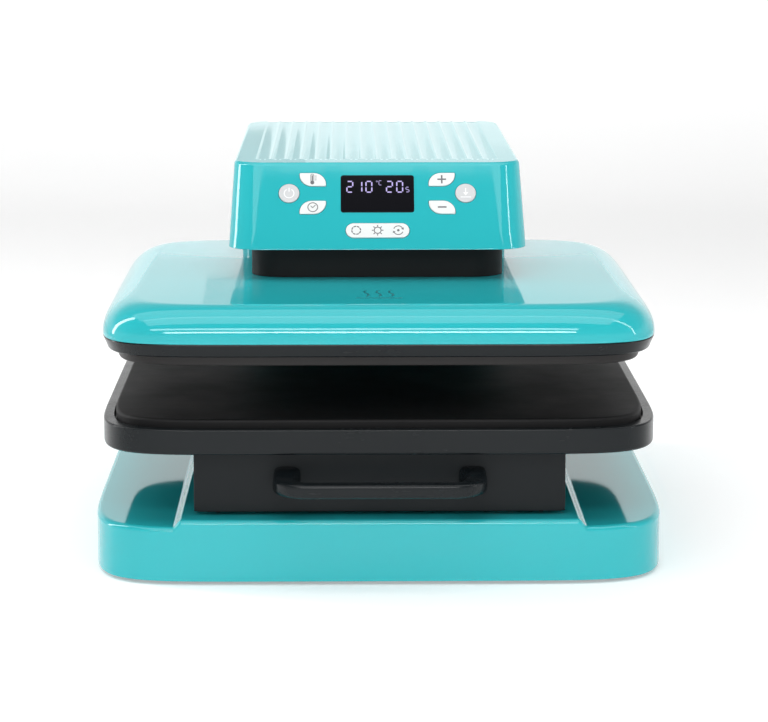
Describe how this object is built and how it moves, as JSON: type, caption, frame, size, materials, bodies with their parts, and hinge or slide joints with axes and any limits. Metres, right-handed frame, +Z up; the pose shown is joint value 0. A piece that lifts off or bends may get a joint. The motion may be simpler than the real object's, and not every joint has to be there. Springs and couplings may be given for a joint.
{
  "type": "drawer heat press",
  "caption": "Desktop automatic heat press: a heated platen under a fluted control head is driven down by a screw on to a padded tray that pulls out like a drawer.",
  "frame": {"origin": "middle of the outline at the table, under the feet", "axes": "+Z up, the control panel and drawer handle face -Y, +X to the right seen from the front"},
  "size_m": [0.421, 0.5608, 0.2865],
  "materials": {
    "shell": "gloss",
    "platen_shell": "gloss",
    "black_trim": "satin",
    "black_paint": "satin",
    "hot_plate": "dark anodised, satin",
    "pad": "matte",
    "foot": "matte",
    "steel": "satin",
    "bright_steel": "polished",
    "aluminium_part": "satin",
    "zinc_fastener": "bright",
    "bronze_gear": "satin",
    "bearing_steel": "ground",
    "motor_body": "satin",
    "insulation": "matte",
    "element_sheath": "heat tinted",
    "circuit_board": "satin",
    "display_glass": "gloss",
    "key_plastic": "satin",
    "slippery_plastic": "satin",
    "socket_plastic": "satin"
  },
  "bodies": {
    "frame": {"feet": "foot", "base_pan": "steel", "pan_screws": "zinc_fastener", "base_shell": "shell", "slide_support": "black_paint", "glide_strips": "slippery_plastic", "slide_outer": "steel", "frame_side_left": "steel", "frame_side_right": "steel", "frame_arm_left": "steel", "frame_arm_right": "steel", "frame_back": "steel", "top_plate": "steel", "guide_housings": "aluminium_part", "linear_bushings": "bearing_steel", "bearing_housing": "aluminium_part", "screw_bearing": "bearing_steel", "lift_motor": "motor_body", "inner_skirt": "black_trim", "head_cover": "shell", "head_underside": "shell", "column_cover": "shell", "rear_cover": "shell", "control_board": "circuit_board", "display_lens": "display_glass", "power_board": "circuit_board", "power_inlet": "socket_plastic", "switch_frame": "socket_plastic", "fan_frame": "socket_plastic", "rear_screws": "zinc_fastener"},
    "platen": {"lift_nut": "bronze_gear", "nut_tube": "aluminium_part", "guide_rods": "bright_steel", "carriage_plate": "steel", "platen_posts": "aluminium_part", "skirt": "black_trim", "platen_cover": "platen_shell", "platen_frame": "black_paint", "insulation_board": "insulation", "heating_plate": "hot_plate", "heating_element": "element_sheath", "thermostat": "bronze_gear"},
    "screw": {"lift_screw": "bright_steel", "screw_gear": "bronze_gear"},
    "pinion": {"motor_pinion": "bronze_gear"},
    "slide_member": {"slide_middle": "steel"},
    "drawer": {"slide_inner": "steel", "drawer_frame": "black_paint", "drawer_front": "black_paint", "handle": "black_trim", "handle_screws": "zinc_fastener", "base_tray": "black_paint", "pad_plate": "aluminium_part", "silicone_pad": "pad", "tray_screws": "zinc_fastener"},
    "power_key": {"button_power": "key_plastic"},
    "start_key": {"button_start": "key_plastic"},
    "temperature_key": {"button_temperature": "key_plastic"},
    "timer_key": {"button_timer": "key_plastic"},
    "plus_key": {"button_plus": "key_plastic"},
    "minus_key": {"button_minus": "key_plastic"},
    "mode_key": {"button_mode": "key_plastic"},
    "power_rocker": {"switch_rocker": "socket_plastic"},
    "fan": {"fan_rotor": "socket_plastic"}
  },
  "joints": [
    {"name": "platen_press", "type": "slide", "parent": "frame", "child": "platen", "axis": [0, 0, -1], "range_m": [0, 0.038]},
    {"name": "screw_turn", "type": "hinge", "parent": "frame", "child": "screw", "pos_m": [0, -0.0516, 0.27], "axis": [0, 0, 1], "range_deg": [0, 1711]},
    {"name": "pinion_turn", "type": "hinge", "parent": "frame", "child": "pinion", "pos_m": [0.036, -0.0516, 0.27], "axis": [0, 0, 1], "range_deg": [-2688.1, 0]},
    {"name": "drawer_slide", "type": "slide", "parent": "frame", "child": "drawer", "axis": [0, -1, 0], "range_m": [0, 0.3]},
    {"name": "slide_member_slide", "type": "slide", "parent": "frame", "child": "slide_member", "axis": [0, -1, 0], "range_m": [0, 0.15]},
    {"name": "power_press", "type": "slide", "parent": "frame", "child": "power_key", "axis": [0, 0.848, -0.5299], "range_m": [0, 0.0008], "stiffness_N_per_m": 900, "springref_m": -0.0006},
    {"name": "start_press", "type": "slide", "parent": "frame", "child": "start_key", "axis": [0, 0.848, -0.5299], "range_m": [0, 0.0008], "stiffness_N_per_m": 900, "springref_m": -0.0006},
    {"name": "temperature_press", "type": "slide", "parent": "frame", "child": "temperature_key", "axis": [0, 0.848, -0.5299], "range_m": [0, 0.0008], "stiffness_N_per_m": 900, "springref_m": -0.0006},
    {"name": "timer_press", "type": "slide", "parent": "frame", "child": "timer_key", "axis": [0, 0.848, -0.5299], "range_m": [0, 0.0008], "stiffness_N_per_m": 900, "springref_m": -0.0006},
    {"name": "plus_press", "type": "slide", "parent": "frame", "child": "plus_key", "axis": [0, 0.848, -0.5299], "range_m": [0, 0.0008], "stiffness_N_per_m": 900, "springref_m": -0.0006},
    {"name": "minus_press", "type": "slide", "parent": "frame", "child": "minus_key", "axis": [0, 0.848, -0.5299], "range_m": [0, 0.0008], "stiffness_N_per_m": 900, "springref_m": -0.0006},
    {"name": "mode_press", "type": "slide", "parent": "frame", "child": "mode_key", "axis": [0, 0.848, -0.5299], "range_m": [0, 0.0008], "stiffness_N_per_m": 900, "springref_m": -0.0006},
    {"name": "power_rocker_tilt", "type": "hinge", "parent": "frame", "child": "power_rocker", "pos_m": [-0.018, 0.2739, 0.0755], "axis": [1, 0, 0], "range_deg": [-16, 0]},
    {"name": "fan_spin", "type": "hinge", "parent": "frame", "child": "fan", "pos_m": [0, 0.264, 0.1745], "axis": [0, 1, 0], "continuous": true}
  ],
  "couplings": [
    {"joint": "screw_turn", "follows": "platen_press", "rad_per_m": 785.4},
    {"joint": "pinion_turn", "follows": "platen_press", "rad_per_m": -1234.2},
    {"joint": "slide_member_slide", "follows": "drawer_slide", "ratio": 0.5}
  ]
}
